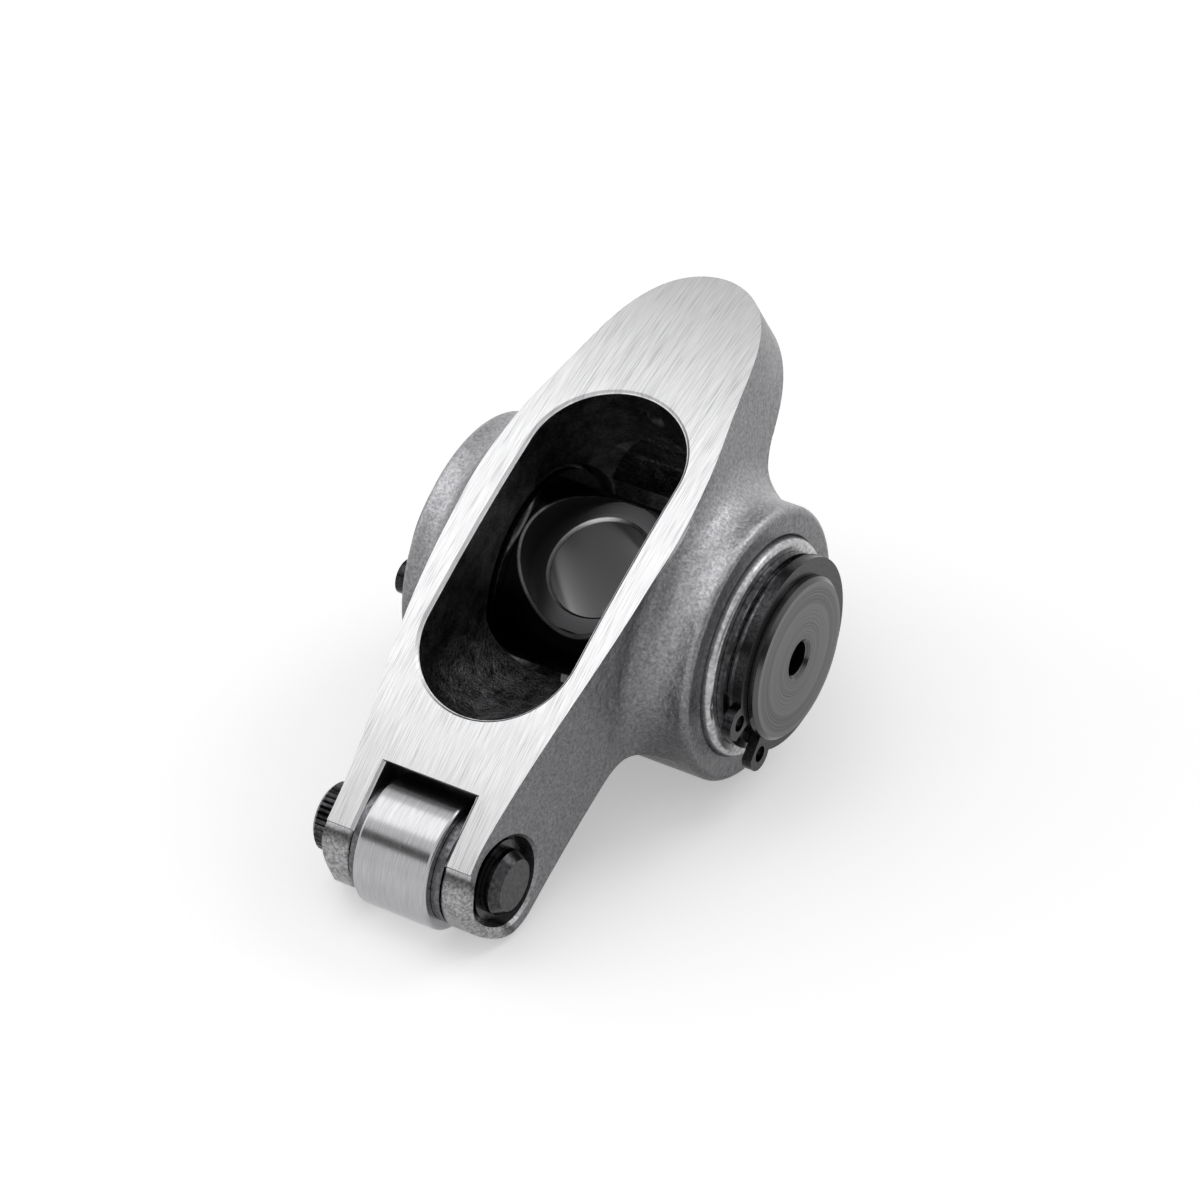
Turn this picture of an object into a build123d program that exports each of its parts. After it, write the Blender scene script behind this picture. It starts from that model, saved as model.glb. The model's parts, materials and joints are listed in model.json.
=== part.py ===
from build123d import *
import os
from math import asin, atan2, cos, degrees, hypot, pi, radians, sin, sqrt, tan

# Stud-mounted roller rocker arm. Millimetres. The origin is where the trunnion's axis and the stud's axis
# cross. +Y runs along the trunnion, +X points to the roller, +Z is up for the arm as it lies on a flat
# surface, on its two bearing bosses and its tip roller.

# Arm, measured from the trunnion's axis in the arm's own directions: along it, across it, up to its top face
AXLE_REACH = 36.9
AXLE_RISE = 10.4
ROCKER_RATIO = 1.6
CROWN_HEIGHT = 18.5
CROWN_X = 12.0
CROWN_RADIUS = 170.0
UNDERSIDE_HEIGHT = 5.5
WAIST_FILLET = 6.0
EAR_RADIUS = 6.15
GROUND_FACE_PAST_AXLE = 2.4
EDGE_BREAK = 0.35
EAR_CORNER = 3.0
EAR_SLOT_ROUND = 0.6
PLAN_MARGIN = 0.3

# Plan form of the ground top face: half widths at stations behind the nose, then along from the trunnion
NOSE_PAST_CUP = 9.0
NOSE_STATIONS = ((1.7, 4.7), (6.4, 7.75), (14.3, 9.7))
BEAM_STATIONS = ((-9.9, 11.5), (0.6, 12.15), (9.6, 11.8), (18.1, 10.9))
EAR_HALF_WIDTH = 8.35
FLANK_DRAFT = 3.2
EAR_DRAFT = 9.0

# Bosses for the needle bearings
BOSS_WALL = 3.15
BOSS_SETBACK = 1.05
BOSS_ROUND = 0.8
BOSS_FILLET = 4.2

# Window through the arm, and the stud's slot in its floor
WINDOW_BACK = -15.8
BRIDGE = 4.0
SHELL_SETBACK = 0.4
FLOOR_WALL = 2.9
RAMP_HEIGHT = 11.5
RAMP_FOOT = 2.42
RAMP_ROUND = 7.0
NOSE_WALL_FOOT = 7.0
STUD_SLOT_LENGTH = 21.5
STUD_SLOT_WIDTH = 14.4
STUD_SLOT_CHAMFER = 0.5

# Pushrod cup and its oil hole
BALL_RADIUS = 3.97
CUP_DROP = 4.2
CUP_WALL = 1.43
CUP_LIP = 0.4
CUP_CHAMFER = 0.5
CUP_ROUND = 0.6
CUP_FILLET = 0.4
OIL_HOLE_RADIUS = 0.9
OIL_HOLE_HEIGHT = 11.2
OIL_HOLE_MARGIN = 3.0

# Trunnion
JOURNAL_RADIUS = 9.0
BARREL_STEP = 0.9
BARREL_HALF_LENGTH = 8.3
TRUNNION_LAND = 1.0
TRUNNION_CHAMFER = 0.45
STUD_BORE_RADIUS = 5.65
SEAT_WIDTH = 2.25
SEAT_HEIGHT = 6.1
CENTRE_HOLE_RADIUS = 1.9
CENTRE_HOLE_DEPTH = 5.5
GROOVE_DEPTH = 0.5

# Drawn-cup needle bearings
NEEDLE_RADIUS = 0.97
SHELL_LENGTH = 9.45
SHELL_WALL = 1.0
SHELL_LIP = 0.8
SHELL_ROUND = 0.7
LIP_CLEARANCE = 0.3
CAGE_WALL = 1.4
CAGE_RING = 0.9
NEEDLE_COUNT = 20

# Washers and snap rings on the trunnion
INNER_WASHER_WIDTH = 2.3
INNER_WASHER_THICKNESS = 0.8
OUTER_WASHER_WIDTH = 1.7
OUTER_WASHER_THICKNESS = 0.75
SPACER_WIDTH = 1.0
SPACER_THICKNESS = 0.7
CIRCLIP_THICKNESS = 1.1
CIRCLIP_WIDTH = 1.6
CIRCLIP_OFFSET = 0.35
LUG_RADIUS = 1.9
LUG_STANDOUT = 1.7
LUG_HALF_ANGLE = 22.0
LUG_HOLE_RADIUS = 0.9
CIRCLIP_GAP_ANGLE = 14.0
RIGHT_CIRCLIP_TURN = -2.5
LEFT_CIRCLIP_TURN = 16.0

# Tip roller on its axle
ROLLER_RADIUS = 7.1
ROLLER_WIDTH = 8.85
ROLLER_EDGE = 0.4
ROLLER_CLEARANCE = 1.5
TIP_WASHER_THICKNESS = 0.975
EAR_WEB = 2.4
RECESS_CLEARANCE = 1.4
AXLE_RADIUS = 3.5
AXLE_STANDOUT = 2.8
AXLE_CHAMFER = 0.7
AXLE_CHAMFER_LENGTH = 1.0
HEAD_STANDOUT = 3.8
HEAD_SETBACK = 0.3
KNURL_RISE = 0.25
HEAD_CHAMFER = 0.4
KNURL_COUNT = 36
KNURL_DEPTH = 0.2
TIP_NEEDLE_RADIUS = 0.75
TIP_WASHER_WIDTH = 2.5
RING_WIDTH = 0.8
RING_THICKNESS = 0.8
RING_GROOVE_DEPTH = 0.35
RING_GAP_ANGLE = 50.0

# Fits
RUNNING = 0.03
END_FLOAT = 0.05
BORE_CHAMFER = 0.4
MOUTH_CHAMFER = 0.3
CUT_MARGIN = 1.0

# Bearings on the trunnion, from its middle outwards, and the bosses that hold them
race_radius = JOURNAL_RADIUS + 2 * (NEEDLE_RADIUS + RUNNING)
shell_radius = race_radius + SHELL_WALL
boss_radius = shell_radius + BOSS_WALL
needle_pitch_radius = (race_radius + JOURNAL_RADIUS) / 2
lip_radius = JOURNAL_RADIUS + LIP_CLEARANCE
barrel_radius = JOURNAL_RADIUS + BARREL_STEP
seat_radius = STUD_BORE_RADIUS + SEAT_WIDTH
groove_radius = JOURNAL_RADIUS - GROOVE_DEPTH
inner_washer_radius = JOURNAL_RADIUS + INNER_WASHER_WIDTH
outer_washer_radius = JOURNAL_RADIUS + OUTER_WASHER_WIDTH
spacer_radius = JOURNAL_RADIUS + SPACER_WIDTH
circlip_radius = JOURNAL_RADIUS + CIRCLIP_WIDTH
lug_reach = JOURNAL_RADIUS + LUG_STANDOUT
inner_washer_start = BARREL_HALF_LENGTH + END_FLOAT
shell_start = inner_washer_start + INNER_WASHER_THICKNESS + END_FLOAT
shell_end = shell_start + SHELL_LENGTH
boss_face = shell_end - BOSS_SETBACK
outer_washer_start = shell_end + END_FLOAT
spacer_start = outer_washer_start + OUTER_WASHER_THICKNESS + END_FLOAT
right_circlip_start = spacer_start + SPACER_THICKNESS + END_FLOAT
right_end = right_circlip_start + CIRCLIP_THICKNESS + TRUNNION_LAND
left_circlip_start = shell_end + END_FLOAT
left_end = left_circlip_start + CIRCLIP_THICKNESS + TRUNNION_LAND
bearing_middle = (shell_start + shell_end) / 2
cage_half_length = SHELL_LENGTH / 2 - SHELL_LIP - END_FLOAT
needle_half_length = cage_half_length - CAGE_RING - END_FLOAT

# Roller, axle and ears
roller_pocket_radius = ROLLER_RADIUS + ROLLER_CLEARANCE
roller_bore_radius = AXLE_RADIUS + 2 * (TIP_NEEDLE_RADIUS + RUNNING)
tip_pitch_radius = (roller_bore_radius + AXLE_RADIUS) / 2
tip_needle_count = int(pi / asin((TIP_NEEDLE_RADIUS + RUNNING / 2) / tip_pitch_radius))
tip_washer_start = ROLLER_WIDTH / 2 + END_FLOAT
tip_washer_radius = AXLE_RADIUS + TIP_WASHER_WIDTH
slot_half_width = tip_washer_start + TIP_WASHER_THICKNESS + END_FLOAT
recess_floor = slot_half_width + EAR_WEB
recess_radius = AXLE_RADIUS + RECESS_CLEARANCE
ring_start = recess_floor + END_FLOAT
ring_end = ring_start + RING_THICKNESS
ring_radius = AXLE_RADIUS + RING_WIDTH
ring_groove_radius = AXLE_RADIUS - RING_GROOVE_DEPTH
axle_end = recess_floor + AXLE_STANDOUT
head_start = recess_floor + HEAD_SETBACK
head_end = recess_floor + HEAD_STANDOUT
head_radius = AXLE_RADIUS + KNURL_RISE

# Attitude: the arm rests on its bosses and on the roller, so the radii and the axle's place set its pitch
axle_distance = hypot(AXLE_REACH, AXLE_RISE)
lean = atan2(AXLE_RISE, AXLE_REACH) + asin((boss_radius - ROLLER_RADIUS) / axle_distance)
ARM = Plane(origin=(0, 0, 0), x_dir=(cos(lean), 0, -sin(lean)), z_dir=(sin(lean), 0, cos(lean)))
SIDE = Plane(origin=(0, 0, 0), x_dir=ARM.x_dir, z_dir=(0, -1, 0))
AXLE = Plane(origin=ARM.from_local_coords((AXLE_REACH, 0, AXLE_RISE)), x_dir=(1, 0, 0), z_dir=(0, 0, 1))
AXLE_LINE = Axis(AXLE.origin, (0, 1, 0))
AXLE_SIDE = Plane(origin=AXLE.origin, x_dir=SIDE.x_dir, z_dir=SIDE.z_dir)

# The beam and its window
cup_reach = sqrt((axle_distance / ROCKER_RATIO) ** 2 - CUP_DROP**2)
cup_boss_radius = BALL_RADIUS + CUP_WALL
nose_reach = cup_reach + NOSE_PAST_CUP
ground_face_end = AXLE_REACH + GROUND_FACE_PAST_AXLE
plan_end = AXLE_REACH + EAR_RADIUS + PLAN_MARGIN
plan_top = max(CROWN_HEIGHT, boss_radius + BOSS_FILLET) + PLAN_MARGIN
plan_bottom = -boss_radius - CUT_MARGIN
pocket_radius = boss_radius - FLOOR_WALL
window_front = AXLE_REACH - roller_pocket_radius - BRIDGE
window_half_width = shell_start - SHELL_SETBACK
ramp_slope = (RAMP_HEIGHT - RAMP_FOOT) / (window_front - pocket_radius)

# The cup faces its pushrod at half lift, when the line from the trunnion to the axle is square to the stud
cup_lean = atan2(AXLE_RISE, AXLE_REACH)
CUP = Plane(
    origin=ARM.from_local_coords((-cup_reach, 0, -CUP_DROP)),
    x_dir=(0, 1, 0),
    z_dir=ARM.x_dir * sin(cup_lean) - ARM.z_dir * cos(cup_lean),
)
cup_root = (UNDERSIDE_HEIGHT + CUP_DROP) / cos(cup_lean) + cup_boss_radius / 2
oil_hole_end = ARM.from_local_coords((WINDOW_BACK, 0, OIL_HOLE_HEIGHT))
OIL_HOLE = Plane(origin=CUP.origin, x_dir=(0, 1, 0), z_dir=oil_hole_end - CUP.origin)


def crown(x):
    """Height of the crowned top face at a station along the arm."""
    return CROWN_HEIGHT - CROWN_RADIUS + sqrt(CROWN_RADIUS**2 - (x - CROWN_X) ** 2)


def ramp(x):
    """Height of the window's ramp at a station along the arm."""
    return RAMP_HEIGHT + (x - window_front) * ramp_slope


def on_ramp(edge):
    """Whether an edge lies in the plane of the window's ramp."""
    points = [ARM.to_local_coords(edge @ t) for t in (0, 0.5, 1)]
    return all(abs(p.Z - ramp(p.X)) < 0.01 for p in points)


def on_crown(edge, back, front, half_width):
    """Whether an edge lies in the crowned top face, between two stations and within a half width."""
    points = [ARM.to_local_coords(edge @ t) for t in (0, 0.5, 1)]
    in_face = all(abs(p.Z - crown(p.X)) < 0.01 for p in points)
    return in_face and all(back - 0.1 < p.X < front + 0.1 and abs(p.Y) < half_width + 0.01 for p in points)


def on_round(edge, plane, radius):
    """Whether an edge lies on the cylinder of a radius about a plane's normal."""
    points = [plane.to_local_coords(edge @ t) for t in (0, 0.3, 0.5, 0.8, 1)]
    return all(abs(hypot(p.X, p.Y) - radius) < 0.02 for p in points)


def on_side(edge, low, high):
    """Whether the whole of an edge is between two distances from the middle plane."""
    return all(low - 0.01 < abs((edge @ t).Y) < high + 0.01 for t in (0, 0.5, 1))


def plan_outline(height):
    """Plan form of the arm at a height, grown below the crown by the draft of the flanks and ears."""
    depth = CROWN_HEIGHT - height
    flank = depth * tan(radians(FLANK_DRAFT))
    ear = depth * tan(radians(EAR_DRAFT))
    stations = [(x - nose_reach, y) for x, y in NOSE_STATIONS] + list(BEAM_STATIONS)
    right = [(x, y + flank) for x, y in stations] + [(x, EAR_HALF_WIDTH + ear) for x in (AXLE_REACH, plan_end)]
    left = [(x, -y) for x, y in reversed(right)]
    with BuildSketch(ARM.offset(height)) as outline:
        with BuildLine():
            edge = Spline(*left, (-nose_reach - flank, 0), *right, tangents=[(-1, 0), (1, 0)])
            Line(edge @ 1, edge @ 0)
        make_face()
    return outline.sketch


def side_profile(plane):
    """Side view of the casting: a crowned beam, the round of the bosses and the round ears at the tip."""
    nose = -nose_reach - 2 * CUT_MARGIN
    with BuildSketch(plane) as profile:
        with BuildLine():
            Polyline(
                (ground_face_end, crown(ground_face_end)),
                (ground_face_end, AXLE_RISE),
                (AXLE_REACH, AXLE_RISE - EAR_RADIUS),
                (nose, UNDERSIDE_HEIGHT),
                (nose, crown(nose)),
            )
            ThreePointArc(
                (nose, crown(nose)), (CROWN_X, CROWN_HEIGHT), (ground_face_end, crown(ground_face_end))
            )
        make_face()
        with Locations((AXLE_REACH, AXLE_RISE)):
            Circle(EAR_RADIUS)
        Circle(boss_radius)
        waists = profile.vertices().filter_by(lambda v: abs(Vector(v).length - boss_radius) < 0.01)
        fillet(waists, WAIST_FILLET)
    return profile.sketch


# Space inside the arm: the window's prism, down to a pocket round the trunnion and a round-bottomed ramp
# that climbs towards the tip
with BuildPart() as cavity:
    with BuildSketch(ARM.offset(-pocket_radius - CUT_MARGIN)):
        with Locations(((window_front + WINDOW_BACK) / 2, 0)):
            SlotOverall(window_front - WINDOW_BACK, 2 * window_half_width)
    extrude(amount=pocket_radius + CROWN_HEIGHT + 2 * CUT_MARGIN)
    with BuildSketch(SIDE.offset(-window_half_width - CUT_MARGIN)):
        with BuildLine():
            Polyline(
                (WINDOW_BACK - CUT_MARGIN, CROWN_HEIGHT + 2 * CUT_MARGIN),
                (WINDOW_BACK - CUT_MARGIN, NOSE_WALL_FOOT),
                (WINDOW_BACK, NOSE_WALL_FOOT),
                (-pocket_radius, 0),
                (0, 0),
                (0, ramp(0)),
                (window_front + CUT_MARGIN, ramp(window_front + CUT_MARGIN)),
                (window_front + CUT_MARGIN, CROWN_HEIGHT + 2 * CUT_MARGIN),
                close=True,
            )
        make_face()
        Circle(pocket_radius)
    extrude(amount=2 * (window_half_width + CUT_MARGIN), mode=Mode.INTERSECT)
    foot = cavity.edges().filter_by(on_ramp).filter_by(lambda e: not on_round(e, SIDE, pocket_radius))
    fillet(foot, RAMP_ROUND)

# Casting: drafted beam and bearing bosses, with the bosses blended into the flanks
with BuildPart() as rocker_body:
    loft(sections=[plan_outline(plan_top), plan_outline(plan_bottom)], ruled=True)
    corners = rocker_body.edges().filter_by(lambda e: (e @ 0).Y * (e @ 1).Y > 0)
    corners = corners.filter_by(lambda e: all(ARM.to_local_coords(e @ t).X > plan_end - 0.01 for t in (0, 1)))
    fillet(corners, EAR_CORNER)
    with BuildSketch(SIDE):
        Circle(boss_radius)
    extrude(amount=boss_face, both=True)
    rims = rocker_body.edges().filter_by(lambda e: on_side(e, boss_face, boss_face))
    fillet(rims, BOSS_ROUND)
    junctions = rocker_body.edges().filter_by(lambda e: on_round(e, SIDE, boss_radius))
    junctions = junctions.filter_by(lambda e: on_side(e, 0, boss_face - BOSS_ROUND - CUT_MARGIN))
    fillet(junctions, BOSS_FILLET)
    trim = side_profile(SIDE.offset(-boss_face - CUT_MARGIN))
    extrude(trim, amount=2 * (boss_face + CUT_MARGIN), mode=Mode.INTERSECT)
    # Pushrod cup under the nose
    with BuildSketch(CUP.offset(CUP_LIP)):
        Circle(cup_boss_radius)
    extrude(amount=-cup_root)
    # Window, stud slot and the bearings' bore
    add(cavity.part, mode=Mode.SUBTRACT)
    with BuildSketch(ARM):
        SlotOverall(STUD_SLOT_LENGTH, STUD_SLOT_WIDTH)
    extrude(amount=-boss_radius - CUT_MARGIN, mode=Mode.SUBTRACT)
    with BuildSketch(SIDE):
        Circle(shell_radius)
    extrude(amount=boss_face + CUT_MARGIN, both=True, mode=Mode.SUBTRACT)
    # Roller slot, axle bores and their recesses
    with BuildSketch(AXLE_SIDE):
        Circle(roller_pocket_radius)
    extrude(amount=slot_half_width, both=True, mode=Mode.SUBTRACT)
    with BuildSketch(AXLE_SIDE):
        Circle(AXLE_RADIUS)
    extrude(amount=boss_face, both=True, mode=Mode.SUBTRACT)
    for side in (1, -1):
        with BuildSketch(AXLE_SIDE.offset(-side * recess_floor)):
            Circle(recess_radius)
        extrude(amount=-side * recess_floor, mode=Mode.SUBTRACT)
    # Socket for the pushrod's ball, and the oil hole from its bottom to the window
    with BuildSketch(CUP):
        Circle(BALL_RADIUS)
    extrude(amount=CUP_LIP + CUT_MARGIN, mode=Mode.SUBTRACT)
    with Locations(CUP):
        Sphere(BALL_RADIUS, mode=Mode.SUBTRACT)
    with BuildSketch(OIL_HOLE):
        Circle(OIL_HOLE_RADIUS)
    extrude(amount=(oil_hole_end - CUP.origin).length + OIL_HOLE_MARGIN, mode=Mode.SUBTRACT)
    # Edges: the ears' noses rounded, and the cuts broken
    noses = rocker_body.edges().filter_by(lambda e: on_round(e, AXLE_SIDE, EAR_RADIUS))
    fillet(noses.filter_by(lambda e: on_side(e, slot_half_width, slot_half_width)), EAR_SLOT_ROUND)
    rim = rocker_body.edges().filter_by(lambda e: on_crown(e, WINDOW_BACK, window_front, window_half_width))
    chamfer(rim, EDGE_BREAK)
    slot_start = window_front + CUT_MARGIN
    rim = rocker_body.edges().filter_by(lambda e: on_crown(e, slot_start, plan_end, slot_half_width))
    chamfer(rim, EDGE_BREAK)
    mouths = rocker_body.edges().filter_by(lambda e: on_round(e, SIDE, shell_radius))
    chamfer(mouths.filter_by(lambda e: on_side(e, boss_face, boss_face)), MOUTH_CHAMFER)
    mouths = rocker_body.edges().filter_by(lambda e: on_round(e, AXLE_SIDE, recess_radius))
    chamfer(mouths.filter_by(lambda e: on_side(e, recess_floor + CUT_MARGIN, boss_face)), MOUTH_CHAMFER)
    mouth = rocker_body.edges().filter_by(lambda e: on_round(e, SIDE, boss_radius))
    mouth = mouth.filter_by(lambda e: on_side(e, 0, STUD_SLOT_WIDTH / 2))
    mouth = mouth.filter_by(lambda e: ARM.to_local_coords(e @ 0.5).Z < 0)
    chamfer(mouth, STUD_SLOT_CHAMFER)
    root = rocker_body.edges().filter_by(lambda e: on_round(e, CUP, cup_boss_radius))
    root = root.filter_by(lambda e: all(CUP.to_local_coords(e @ t).Z < -CUP_ROUND for t in (0, 1)))
    fillet(root, CUP_FILLET)
    rim = rocker_body.edges().filter_by(GeomType.CIRCLE).filter_by(lambda e: on_round(e, CUP, BALL_RADIUS))
    chamfer(rim.filter_by(lambda e: abs(CUP.to_local_coords(e @ 0.5).Z - CUP_LIP) < 0.01), CUP_CHAMFER)
    rim = rocker_body.edges().filter_by(GeomType.CIRCLE).filter_by(lambda e: on_round(e, CUP, cup_boss_radius))
    fillet(rim, CUP_ROUND)

# Trunnion: journals, barrel and snap ring grooves, bored across for the stud with a spot-faced nut seat.
# Two more washers lie under the right-hand ring, so that end is the longer
with BuildPart() as trunnion:
    with BuildSketch(Plane.XY):
        for side, groove, end in ((1, right_circlip_start, right_end), (-1, left_circlip_start, left_end)):
            with BuildLine():
                Polyline(
                    (0, side * end),
                    (JOURNAL_RADIUS - TRUNNION_CHAMFER, side * end),
                    (JOURNAL_RADIUS, side * (end - TRUNNION_CHAMFER)),
                    (JOURNAL_RADIUS, side * (groove + CIRCLIP_THICKNESS + END_FLOAT)),
                    (groove_radius, side * (groove + CIRCLIP_THICKNESS + END_FLOAT)),
                    (groove_radius, side * groove),
                    (JOURNAL_RADIUS, side * groove),
                    (JOURNAL_RADIUS, side * BARREL_HALF_LENGTH),
                    (barrel_radius, side * BARREL_HALF_LENGTH),
                    (barrel_radius, 0),
                    (0, 0),
                    close=True,
                )
            make_face()
    revolve(axis=Axis.Y)
    for side, end in ((1, right_end), (-1, left_end)):
        with BuildSketch(SIDE.offset(-side * end)):
            Circle(CENTRE_HOLE_RADIUS)
        extrude(amount=side * CENTRE_HOLE_DEPTH, mode=Mode.SUBTRACT)
    mouths = trunnion.edges().filter_by(lambda e: on_round(e, SIDE, CENTRE_HOLE_RADIUS))
    chamfer(mouths.filter_by(lambda e: on_side(e, left_end, right_end)), BORE_CHAMFER)
    with BuildSketch(ARM.offset(SEAT_HEIGHT)):
        Circle(seat_radius)
    extrude(amount=barrel_radius, mode=Mode.SUBTRACT)
    with BuildSketch(ARM.offset(-barrel_radius - CUT_MARGIN)):
        Circle(STUD_BORE_RADIUS)
    extrude(amount=2 * (barrel_radius + CUT_MARGIN), mode=Mode.SUBTRACT)
    mouth = trunnion.edges().filter_by(GeomType.CIRCLE).filter_by(lambda e: on_round(e, ARM, STUD_BORE_RADIUS))
    chamfer(mouth, BORE_CHAMFER)


# Drawn-cup bearings: a shell with turned-in lips, and a cage with a pocket for each needle
with BuildPart() as right_bearing_shell:
    with BuildSketch(Plane.XY):
        with BuildLine():
            Polyline(
                (lip_radius, shell_start),
                (shell_radius, shell_start),
                (shell_radius, shell_end),
                (lip_radius, shell_end),
                (lip_radius, shell_end - SHELL_LIP),
                (race_radius, shell_end - SHELL_LIP),
                (race_radius, shell_start + SHELL_LIP),
                (lip_radius, shell_start + SHELL_LIP),
                close=True,
            )
        make_face()
    revolve(axis=Axis.Y)
    bends = right_bearing_shell.edges().filter_by(GeomType.CIRCLE)
    bends = bends.filter_by(lambda e: abs(e.radius - shell_radius) < 0.01)
    fillet(bends, SHELL_ROUND)

with BuildPart() as right_needle_cage:
    with BuildSketch(SIDE.offset(-bearing_middle)):
        Circle(needle_pitch_radius + CAGE_WALL / 2)
        Circle(needle_pitch_radius - CAGE_WALL / 2, mode=Mode.SUBTRACT)
    extrude(amount=cage_half_length, both=True)
    with BuildSketch(SIDE.offset(-bearing_middle)):
        with PolarLocations(needle_pitch_radius, NEEDLE_COUNT):
            Rectangle(2 * CAGE_WALL, 2 * (NEEDLE_RADIUS + END_FLOAT))
    extrude(amount=needle_half_length + END_FLOAT, both=True, mode=Mode.SUBTRACT)

with BuildPart() as right_needles:
    with BuildSketch(SIDE.offset(-bearing_middle)):
        with PolarLocations(needle_pitch_radius, NEEDLE_COUNT):
            Circle(NEEDLE_RADIUS)
    extrude(amount=needle_half_length, both=True)


def washer(start, thickness, inner, outer):
    """Flat ring round the trunnion's axis, from a station on its right-hand side outwards."""
    with BuildPart() as ring:
        with BuildSketch(SIDE.offset(-start)):
            Circle(outer)
            Circle(inner, mode=Mode.SUBTRACT)
        extrude(amount=-thickness)
    return ring


right_inner_thrust_washer = washer(
    inner_washer_start, INNER_WASHER_THICKNESS, JOURNAL_RADIUS + RUNNING, inner_washer_radius
)
right_outer_thrust_washer = washer(
    outer_washer_start, OUTER_WASHER_THICKNESS, JOURNAL_RADIUS + RUNNING, outer_washer_radius
)
right_spacer_washer = washer(spacer_start, SPACER_THICKNESS, JOURNAL_RADIUS + RUNNING, spacer_radius)


def circlip(near, turn):
    """Snap ring in a groove: widest at its back, with a holed lug at each side of its gap."""
    with BuildPart() as ring:
        with BuildSketch(SIDE.offset(-near)):
            with PolarLocations(-CIRCLIP_OFFSET, 1, turn):
                Circle(circlip_radius)
            with PolarLocations(lug_reach, 2, turn - LUG_HALF_ANGLE, 4 * LUG_HALF_ANGLE):
                Circle(LUG_RADIUS)
            Circle(groove_radius, mode=Mode.SUBTRACT)
            with BuildLine():
                span = 2 * lug_reach
                low = radians(turn - CIRCLIP_GAP_ANGLE)
                high = radians(turn + CIRCLIP_GAP_ANGLE)
                first = (span * cos(low), span * sin(low))
                last = (span * cos(high), span * sin(high))
                Polyline((0, 0), first, last, close=True)
            make_face(mode=Mode.SUBTRACT)
            with PolarLocations(lug_reach, 2, turn - LUG_HALF_ANGLE, 4 * LUG_HALF_ANGLE):
                Circle(LUG_HOLE_RADIUS, mode=Mode.SUBTRACT)
        extrude(amount=CIRCLIP_THICKNESS)
    return ring


right_circlip = circlip(right_circlip_start + CIRCLIP_THICKNESS, RIGHT_CIRCLIP_TURN)
left_circlip = circlip(-left_circlip_start, LEFT_CIRCLIP_TURN)

# Tip roller, its needles and the thrust washers beside it
with BuildPart() as tip_roller:
    with BuildSketch(AXLE_SIDE):
        Circle(ROLLER_RADIUS)
        Circle(roller_bore_radius, mode=Mode.SUBTRACT)
    extrude(amount=ROLLER_WIDTH / 2, both=True)
    rims = tip_roller.edges().filter_by(GeomType.CIRCLE)
    rims = rims.filter_by(lambda e: e.radius > roller_bore_radius + 0.1)
    fillet(rims, ROLLER_EDGE)

with BuildPart() as tip_needles:
    with BuildSketch(AXLE_SIDE):
        with PolarLocations(tip_pitch_radius, tip_needle_count):
            Circle(TIP_NEEDLE_RADIUS)
    extrude(amount=ROLLER_WIDTH / 2 - END_FLOAT, both=True)

with BuildPart() as right_tip_washer:
    with BuildSketch(AXLE_SIDE.offset(-tip_washer_start)):
        Circle(tip_washer_radius)
        Circle(AXLE_RADIUS + RUNNING, mode=Mode.SUBTRACT)
    extrude(amount=-TIP_WASHER_THICKNESS)

# Axle: pressed in from the left by its knurled head, held at the right by a ring in the recess
with BuildPart() as tip_axle:
    with BuildSketch(AXLE_SIDE.offset(head_start)) as knurl:
        Circle(head_radius)
        with PolarLocations(head_radius, KNURL_COUNT):
            Rectangle(KNURL_DEPTH * 1.4, KNURL_DEPTH * 1.4, rotation=45, mode=Mode.SUBTRACT)
    extrude(amount=head_end - head_start)
    with BuildSketch(AXLE):
        with BuildLine():
            Polyline(
                (0, -head_start),
                (AXLE_RADIUS, -head_start),
                (AXLE_RADIUS, ring_start),
                (ring_groove_radius, ring_start),
                (ring_groove_radius, ring_end + END_FLOAT),
                (AXLE_RADIUS, ring_end + END_FLOAT),
                (AXLE_RADIUS, axle_end - AXLE_CHAMFER_LENGTH),
                (AXLE_RADIUS - AXLE_CHAMFER, axle_end),
                (0, axle_end),
                close=True,
            )
        make_face()
    revolve(axis=AXLE_LINE)
    with BuildSketch(AXLE):
        with BuildLine():
            Polyline(
                (head_radius - HEAD_CHAMFER, -head_end),
                (head_radius + HEAD_CHAMFER, -head_end),
                (head_radius + HEAD_CHAMFER, -head_end + 2 * HEAD_CHAMFER),
                close=True,
            )
        make_face()
    revolve(axis=AXLE_LINE, mode=Mode.SUBTRACT)

with BuildPart() as axle_retaining_ring:
    with BuildSketch(AXLE_SIDE.offset(-ring_end)):
        Circle(ring_radius)
        Circle(ring_groove_radius, mode=Mode.SUBTRACT)
        with BuildLine():
            half_gap = radians(RING_GAP_ANGLE / 2)
            Polyline(
                (0, 0),
                (-2 * ring_radius * sin(half_gap), -2 * ring_radius * cos(half_gap)),
                (2 * ring_radius * sin(half_gap), -2 * ring_radius * cos(half_gap)),
                close=True,
            )
        make_face(mode=Mode.SUBTRACT)
    extrude(amount=RING_THICKNESS)

# The left-hand pieces mirror the right-hand ones
with BuildPart() as left_bearing_shell:
    mirror(right_bearing_shell.part, about=Plane.XZ)

with BuildPart() as left_needle_cage:
    mirror(right_needle_cage.part, about=Plane.XZ)

with BuildPart() as left_needles:
    mirror(right_needles.part, about=Plane.XZ)

with BuildPart() as left_inner_thrust_washer:
    mirror(right_inner_thrust_washer.part, about=Plane.XZ)

with BuildPart() as left_tip_washer:
    mirror(right_tip_washer.part, about=Plane.XZ)

os.makedirs("parts", exist_ok=True)

rocker_body.part.label = "rocker_body"
export_step(rocker_body.part, "parts/rocker_body.step")

trunnion.part.label = "trunnion"
export_step(trunnion.part, "parts/trunnion.step")

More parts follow.
